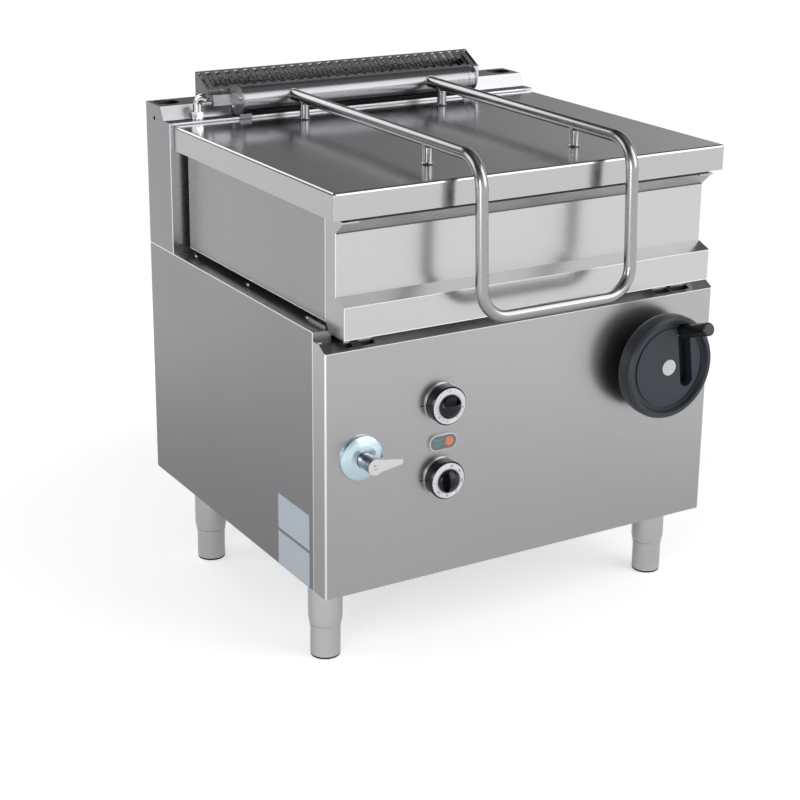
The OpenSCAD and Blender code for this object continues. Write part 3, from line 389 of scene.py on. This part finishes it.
# Width of the rounded edges, in metres
EDGE = {
    "front_panel": 0.0009, "left_side_panel": 0.0014, "right_side_panel": 0.0014, "rear_riser": 0.0014,
    "casing_front": 0.0014, "casing_panels": 0.0009, "back_panel": 0.0008, "flue_grille": 0.0003,
    "vessel": 0.0008, "handwheel": 0.0012, "hub_cap": 0.0006, "grip": 0.0012, "upper_knob": 0.0010,
    "lower_knob": 0.0010, "tap_lever": 0.0012, "tap_escutcheon": 0.0012, "hinge_stands": 0.0008,
    "leg_sleeves": 0.0006, "knob_bezels": 0.0006, "lamp_housing": 0.0010, "trunnion_brackets": 0.0008,
    "tilt_lug": 0.0008, "crank": 0.0008, "tie_link": 0.0008, "spring_anchor": 0.0008,
    "gearbox_frame": 0.0008, "control_gear": 0.0012, "spout": 0.0004,
}

# Material of the rounding, where it isn't the node's own: sheet steel gets a bright painted highlight there
EDGE_MATERIAL = {name: "edge" for name in (
    "front_panel", "left_side_panel", "right_side_panel", "rear_riser", "casing_front", "casing_panels",
    "leg_sleeves", "hinge_stands", "spring_anchor", "back_panel", "flue_grille",
)}
EDGE_MATERIAL["tap_escutcheon"] = "spring"


def smooth(mesh):
    mesh.polygons.foreach_set("use_smooth", [True] * len(mesh.polygons))
    mesh.set_sharp_from_angle(angle=SHARP_ANGLE)


def bevel(piece, width, material=None):
    """Rounds the edges, and gives the rounding a material of its own if one is named."""
    modifier = piece.modifiers.new("edge", "BEVEL")
    if material:
        piece.data.materials.append(MATERIALS[material])
        modifier.material = len(piece.data.materials) - 1
    modifier.width = width
    modifier.segments = 2
    modifier.limit_method = "ANGLE"
    modifier.angle_limit = BEVEL_ANGLE
    modifier.harden_normals = True


def dress_nodes():
    for key, names in NODE_MATERIAL.items():
        for name in names:
            mesh = nodes[name].data
            mesh.materials.clear()
            mesh.materials.append(MATERIALS[key])
            smooth(mesh)
            if name in EDGE:
                bevel(nodes[name], EDGE[name], EDGE_MATERIAL.get(name))


# Piece helpers
AXES = {
    "x": Matrix(((0, 0, 1), (0, 1, 0), (-1, 0, 0))).to_4x4(),
    "-y": Matrix(((1, 0, 0), (0, 0, -1), (0, 1, 0))).to_4x4(),
    "z": Matrix.Identity(4),
}
HALF_TURN = Matrix.Rotation(math.pi, 4, "Z")
SMALL_STEPS = 24  # corners of a small round head
BEAD_SIDES = 8


def add_piece(name, bm, material, body, edge=0.0):
    """Makes a piece of the scene's own from a bmesh, smooths it and hangs it on its body."""
    bmesh.ops.recalc_face_normals(bm, faces=bm.faces)
    mesh = bpy.data.meshes.new(name)
    bm.to_mesh(mesh)
    bm.free()
    piece = bpy.data.objects.new(name, mesh)
    bpy.context.scene.collection.objects.link(piece)
    mesh.materials.append(MATERIALS[material])
    smooth(mesh)
    if edge:
        bevel(piece, edge)
    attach(piece, body)


def close_loop(bm, low, high):
    """Faces between two rings of as many corners."""
    for i in range(len(low)):
        j = (i + 1) % len(low)
        bm.faces.new((low[i], low[j], high[j], high[i]))


def lathe(bm, profile, centre, axis="-y", steps=64, turn=Matrix.Identity(4)):
    """Turns (radius, height) points in millimetres about an axis through centre."""
    to_place = Matrix.Translation(place(*centre)) @ turn @ AXES[axis]
    rings = []
    for radius, height in profile:
        if not radius:
            rings.append([bm.verts.new(to_place @ Vector((0, 0, height * MM)))])
            continue
        ring = []
        for i in range(steps):
            a = 2 * math.pi * i / steps
            spot = Vector((radius * math.cos(a), radius * math.sin(a), height)) * MM
            ring.append(bm.verts.new(to_place @ spot))
        rings.append(ring)
    for low, high in zip(rings, rings[1:]):
        if len(low) == len(high):
            close_loop(bm, low, high)
            continue
        for i in range(steps):
            j = (i + 1) % steps
            bm.faces.new((low[0], high[i], high[j]) if len(low) == 1 else (low[i], low[j], high[0]))
    if profile[0] != profile[-1]:
        for ring in (rings[0], rings[-1]):
            if len(ring) > 1:
                bm.faces.new(ring)


def turned(name, profile, centre, material, body, axis="-y", steps=64):
    bm = bmesh.new()
    lathe(bm, profile, centre, axis, steps)
    add_piece(name, bm, material, body)


def block(bm, low, high, turn=None, pivot=None):
    """A box between two corners in cabinet millimetres, optionally turned about a pivot."""
    made = bmesh.ops.create_cube(bm, size=1)["verts"]
    a, b = place(*low), place(*high)
    bmesh.ops.scale(bm, vec=b - a, verts=made)
    bmesh.ops.translate(bm, vec=(a + b) / 2, verts=made)
    if turn is not None:
        at = place(*pivot)
        bmesh.ops.transform(bm, matrix=Matrix.Translation(at) @ turn @ Matrix.Translation(-at), verts=made)


def blocks(name, corners, material, body, edge=0.0):
    bm = bmesh.new()
    for low, high in corners:
        block(bm, low, high)
    add_piece(name, bm, material, body, edge)


def bead(bm, points, radius):
    """A round bead swept along a closed loop of points in metres."""
    rings = []
    count = len(points)
    for i, at in enumerate(points):
        along = (points[(i + 1) % count] - points[i - 1]).normalized()
        side = along.cross(Vector((0, 1, 0))).normalized()
        out = side.cross(along)
        rings.append([
            bm.verts.new(at + (side * math.cos(a) + out * math.sin(a)) * radius)
            for a in (2 * math.pi * k / BEAD_SIDES for k in range(BEAD_SIDES))
        ])
    for low, high in zip(rings, rings[1:] + rings[:1]):
        close_loop(bm, low, high)


# Controls on the front panel
KNOB_X = -175
KNOBS = {  # height of the knob, angle it is set to, and figures of its dial
    "upper": (462, 90, ("0", "1", "2", "3", "4", "5", "6")),
    "lower": (328, 0, ("0", "50", "100", "150", "200", "250", "300")),
}
FIGURE_STEP = 43  # degrees between two figures
FIGURE_RADIUS = 26.6
FIGURE_SIZE, LONG_FIGURE_SIZE = 0.0052, 0.0044
FIGURE_DEPTH = 0.00008
TICK_GAPS = 4  # gaps that the ticks make between two figures


def numeral(text, turn, centre):
    """Raised figure of a dial, as a mesh, lying in the dial's face."""
    curve = bpy.data.curves.new("figure", "FONT")
    curve.body = text
    curve.size = FIGURE_SIZE if len(text) < 3 else LONG_FIGURE_SIZE
    curve.align_x = "CENTER"
    curve.align_y = "CENTER"
    curve.extrude = FIGURE_DEPTH
    figure = bpy.data.objects.new("figure", curve)
    bpy.context.scene.collection.objects.link(figure)
    bpy.context.view_layer.update()
    mesh = bpy.data.meshes.new_from_object(figure)
    mesh.transform(Matrix.Translation(place(*centre)) @ turn @ Matrix.Rotation(math.pi / 2, 4, "X"))
    bpy.data.objects.remove(figure)
    bpy.data.curves.remove(curve)
    return mesh


def knob_dials():
    """A white ring with figures and ticks on each knob, and the index line beside it."""
    for name, (z, setting, figures) in KNOBS.items():
        body = name + "_knob"
        turned(name + "_dial", [(20.8, 22.0), (31.4, 22.0), (31.4, 22.5), (30.9, 22.8), (21.2, 22.8), (20.8, 22.0)],
               (KNOB_X, 0, z), "dial", body, steps=96)
        bm = bmesh.new()
        for i, text in enumerate(figures):
            angle = -90 + setting - i * FIGURE_STEP
            lean = Matrix.Rotation(math.radians(angle), 4, "Y")
            at = lean @ Vector((0, 0, FIGURE_RADIUS))
            mesh = numeral(text, lean, (KNOB_X + at.x, -22.86, z + at.z))
            bm.from_mesh(mesh)
            bpy.data.meshes.remove(mesh)
            if i == len(figures) - 1:
                continue
            for k in range(1, TICK_GAPS):
                tick = Matrix.Rotation(math.radians(angle - k * FIGURE_STEP / TICK_GAPS), 4, "Y")
                block(bm, (KNOB_X - 0.25, -23.0, z + 28.6), (KNOB_X + 0.25, -22.7, z + 30.4), tick, (KNOB_X, 0, z))
        add_piece(name + "_dial_marks", bm, "mark", body)
        blocks(name + "_index", [((KNOB_X - 45, -0.5, z - 0.7), (KNOB_X - 36, 0.2, z + 0.7))], "mark", "cabinet")


LAMP_Z = 392
LAMP_HALF = 13  # from the lamp's middle to the centre of each round end


def lamp_loop(radius, front, steps):
    """Oblong round the pilot lamp: two half circles, joined by straight sides."""
    loop = []
    for side, start in ((1, -90), (-1, 90)):
        for i in range(steps + 1):
            a = math.radians(start + i * 180 / steps)
            x = KNOB_X + side * LAMP_HALF + radius * math.cos(a)
            loop.append(place(x, -front, LAMP_Z + radius * math.sin(a)))
    return loop


def lamp_window():
    """Clear domed window with a raised rim over the two lenses of the pilot lamp."""
    bm = bmesh.new()
    rings = []
    for radius, front in ((13.8, 3.0), (13.8, 4.6), (13.0, 5.2), (12.0, 5.2), (11.4, 4.6), (9.0, 5.3), (5.0, 5.8)):
        rings.append([bm.verts.new(point) for point in lamp_loop(radius, front, 16)])
    for low, high in zip(rings, rings[1:]):
        close_loop(bm, low, high)
    bm.faces.new(rings[-1])
    bm.faces.new(rings[0])
    add_piece("lamp_window", bm, "window", "cabinet")
    bm = bmesh.new()
    bead(bm, lamp_loop(13.2, 4.4, 20), 0.0009)
    add_piece("lamp_rim", bm, "dial", "cabinet")


TAP_AT = (-333, 0, 393)


def tap_details():
    """Chrome sleeve over the tap's stem, the dark ring at its foot and the cap of the lever."""
    turned("tap_collar", [(11.05, 12.4), (13.3, 12.4), (13.7, 13.0), (13.7, 25.8), (13.2, 26.5), (11.05, 26.5),
                          (11.05, 12.4)], TAP_AT, "lever", "cabinet")
    turned("tap_ring", [(11.05, 11.4), (14.4, 11.2), (14.4, 12.2), (13.8, 12.6), (11.05, 12.6), (11.05, 11.4)],
           TAP_AT, "dark", "cabinet")
    turned("tap_cap", [(0, 49.6), (4.6, 49.6), (4.6, 50.6), (3.9, 51.5), (2.2, 52.1), (0, 52.3)],
           TAP_AT, "chrome", "tap_lever", steps=40)


# Cabinet
def plates():
    """Two blank plates on the left side, where such a machine carries its rating plates."""
    blocks("blank_plates", [((-400.15, 57, 218), (-399.9, 171, 282)), ((-400.15, 57, 150), (-399.9, 171, 212))],
           "plate", "cabinet", 0.0002)


def vent_backs():
    """Folded sheets behind the vents of the sloping edge."""
    corners = []
    for x0, x1 in ((-358, -302), (275, 353)):
        corners.append(((x0, 3, 567), (x1, 20, 568.5)))
        corners.append(((x0, 19, 567), (x1, 20.2, 589)))
    blocks("vent_backs", corners, "side", "cabinet", 0.0003)


def back_screws():
    """Flat screw heads along the lower and upper edge of the back panel."""
    head = [(0, 0.0), (4.6, 0.0), (4.6, 0.5), (3.6, 1.2), (2.0, 1.5), (1.9, 0.7), (0, 0.7)]
    bm = bmesh.new()
    for x in (-350, -117, 117, 350):
        for z in (161, 588):
            lathe(bm, head, (x, 693.95, z), "-y", SMALL_STEPS, HALF_TURN)
    add_piece("back_screws", bm, "chrome", "cabinet")


def feet_details():
    """A dark pad under each foot, and a rounded lip round it below its sleeve."""
    for side, x in (("left", -353), ("right", 353)):
        for end, y in (("front", 88), ("rear", 554)):
            name = "foot_%s_%s" % (end, side)
            turned(name + "_pad", [(0, 0.2), (25.4, 0.2), (26.0, 1.0), (26.0, 3.6), (0, 3.6)], (x, y, 0),
                   "rubber", name, "z")
            turned(name + "_lip", [(26.4, 57.5), (27.6, 58.2), (27.6, 61.0), (26.4, 61.7), (26.4, 57.5)], (x, y, 0),
                   "leg", "cabinet", "z")


# Lid and hinge
ARMS_X = (-150.5, 150.5)
POSTS_Y = (99, 536)
LID_TOP, ARM_UNDERSIDE = 850, 878
HINGE = (600, 885)
HINGE_TUBE_RADIUS = 24.15  # where the beads lie, just above the tube's surface
ARM_Z = 889


def post_welds():
    """Small weld fillets where the handle's posts meet the lid and the arms."""
    bm = bmesh.new()
    for x in ARMS_X:
        for y in POSTS_Y:
            lathe(bm, [(8.8, 0), (12.0, 0), (10.4, 0.9), (9.5, 1.9), (8.8, 3.4), (8.8, 0)], (x, y, LID_TOP), "z", 40)
            lathe(bm, [(8.8, 0), (9.4, 0.4), (9.9, 2.4), (10.2, 6.0), (8.8, 6.0), (8.8, 0)],
                  (x, y, ARM_UNDERSIDE), "z", 40)
    add_piece("post_welds", bm, "tube", "lid")


def arm_welds():
    """Slightly rippled weld beads where the handle's arms end on the hinge tube."""
    bm = bmesh.new()
    corners = 56
    for x in ARMS_X:
        loop = []
        for i in range(corners):
            a = 2 * math.pi * i / corners
            z = ARM_Z + 10.7 * math.sin(a)
            y = HINGE[0] - math.sqrt(HINGE_TUBE_RADIUS ** 2 - (z - HINGE[1]) ** 2)
            ripple = 0.12 * math.sin(9 * a + x)
            loop.append(place(x + (10.8 + ripple) * math.cos(a), y - 0.3, z))
        bead(bm, loop, 0.0011)
    add_piece("arm_welds", bm, "tube", "lid")


def hinge_details():
    """Round bolt heads on the hinge's end plates and socket screws in the collar."""
    head = [(3.6, 0), (3.6, 0.6), (3.1, 1.7), (2.0, 2.5), (0.8, 2.8), (0, 2.8)]
    bm = bmesh.new()
    for side, reach, turn in ((-1, 1, HALF_TURN), (1, 0.75, Matrix.Identity(4))):
        for y, z in ((11, 7), (-17, 5.5), (16, -15)):
            lathe(bm, head, (side * 259, HINGE[0] + reach * y, HINGE[1] + reach * z), "x", SMALL_STEPS, turn)
    add_piece("hinge_bolts", bm, "chrome", "pan")
    socket = [(0, 20.5), (2.85, 20.5), (2.85, 23.0), (2.4, 23.3), (1.3, 23.3), (1.3, 21.8), (0, 21.8)]
    bm = bmesh.new()
    for angle in (50, 120, 190):
        turn = Matrix.Rotation(math.radians(angle), 4, "X")
        lathe(bm, socket, (250.5, *HINGE), "z", SMALL_STEPS, turn)
    add_piece("collar_screws", bm, "spring", "lid")


# Stage
FLOOR_SIZE = 60
FLOOR_Z = -0.0002
PAPER, BLACK, WHITE = (0.80, 0.80, 0.80), (0, 0, 0), (1, 1, 1)
FADE_START, FADE_END = 0.8, 2.2  # metres from the middle
NEAR_GLOW = 0.20
CAMERA_GLOW = 0.37
SKY = (  # from the horizon to the zenith
    (0.0, (0.95, 0.95, 0.95)), (0.30, (0.72, 0.72, 0.73)), (0.66, (0.13, 0.13, 0.135)),
    (0.80, (0.15, 0.15, 0.155)), (0.97, (0.34, 0.34, 0.35)),
)
BRIGHT_SIDE = (0.75, -0.66, 0)
DULL_SIDE_LIGHT = 0.28
LAMPS = (  # name, place, aim, size and power
    ("key", (1.7, -2.4, 2.3), (0, 0, 0.5), 2.9, 58),
    ("left_low", (-2.5, -1.9, 0.9), (-0.1, -0.1, 0.5), 1.1, 22),
    ("left_fill", (-2.4, 0.9, 1.9), (0, 0.1, 0.4), 1.8, 16),
    ("back", (-0.6, 2.6, 2.0), (0, 0, 0.6), 1.6, 16),
)


def add_floor():
    """Pale paper near the object, fading to plain white further out."""
    bpy.ops.mesh.primitive_plane_add(size=FLOOR_SIZE, location=(0, 0, FLOOR_Z))
    floor = bpy.context.object
    floor.name = "floor"
    material, tree, shader = new_material("floor_paper")
    shader.inputs["Roughness"].default_value = 0.9
    shader.inputs["Emission Color"].default_value = (*WHITE, 1)
    ray = node(tree, "ShaderNodeLightPath").outputs
    seen = maths(tree, "ADD", ray["Is Camera Ray"], ray["Is Glossy Ray"])
    seen = maths(tree, "ADD", seen, ray["Is Transmission Ray"])
    coords = node(tree, "ShaderNodeTexCoord")
    length = node(tree, "ShaderNodeVectorMath", operation="LENGTH")
    tree.links.new(coords.outputs["Object"], length.inputs[0])
    far = remap(tree, length.outputs["Value"], FADE_START, FADE_END, curve="SMOOTHSTEP")
    far_seen = maths(tree, "MULTIPLY", seen, far, clamp=True)
    tree.links.new(mix(tree, far_seen, PAPER, BLACK), shader.inputs["Base Color"])
    glow = remap(tree, far_seen, 0.0, 1.0, NEAR_GLOW, 1.0)
    lit = maths(tree, "MULTIPLY", seen, glow, clamp=True)
    # the camera sees the paper near the object a little whiter, with the shadow still in it
    whiter = maths(tree, "MULTIPLY_ADD", ray["Is Camera Ray"], CAMERA_GLOW, lit, clamp=True)
    tree.links.new(whiter, shader.inputs["Emission Strength"])
    floor.data.materials.append(material)


def add_studio():
    """World round the object: white for the camera, a darker ceiling and back for the rest."""
    world = bpy.data.worlds.new("studio")
    bpy.context.scene.world = world
    world.use_nodes = True
    tree = world.node_tree
    background = tree.nodes["Background"]
    coords = node(tree, "ShaderNodeTexCoord")
    split = node(tree, "ShaderNodeSeparateXYZ")
    tree.links.new(coords.outputs["Generated"], split.inputs[0])
    ramp = node(tree, "ShaderNodeValToRGB")
    stops = ramp.color_ramp.elements
    stops.remove(stops[1])
    stops[0].position = SKY[0][0]
    stops[0].color = (*SKY[0][1], 1)
    for position, colour in SKY[1:]:
        stops.new(position).color = (*colour, 1)
    tree.links.new(split.outputs["Z"], ramp.inputs["Fac"])
    facing = node(tree, "ShaderNodeVectorMath", {1: BRIGHT_SIDE}, operation="DOT_PRODUCT")
    tree.links.new(coords.outputs["Generated"], facing.inputs[0])
    bright = remap(tree, facing.outputs["Value"], -0.25, 0.25, DULL_SIDE_LIGHT, 1.0, "SMOOTHSTEP")
    shade = node(tree, "ShaderNodeVectorMath", operation="SCALE")
    tree.links.new(ramp.outputs["Color"], shade.inputs[0])
    tree.links.new(bright, shade.inputs["Scale"])
    camera_ray = node(tree, "ShaderNodeLightPath").outputs["Is Camera Ray"]
    tree.links.new(mix(tree, camera_ray, shade.outputs[0], WHITE), background.inputs["Color"])
    background.inputs["Strength"].default_value = 1.0


def add_lamps():
    for name, at, aim, size, power in LAMPS:
        data = bpy.data.lights.new(name, "AREA")
        data.size = size
        data.energy = power
        lamp = bpy.data.objects.new(name, data)
        lamp.location = at
        lamp.rotation_euler = (Vector(aim) - Vector(at)).to_track_quat("-Z", "Y").to_euler()
        bpy.context.scene.collection.objects.link(lamp)


bpy.context.scene.view_settings.view_transform = "Standard"
add_camera()
paint_sheet_light_and_shade()
dress_nodes()
knob_dials()
plates()
vent_backs()
back_screws()
feet_details()
post_welds()
arm_welds()
hinge_details()
lamp_window()
tap_details()
add_floor()
add_studio()
add_lamps()
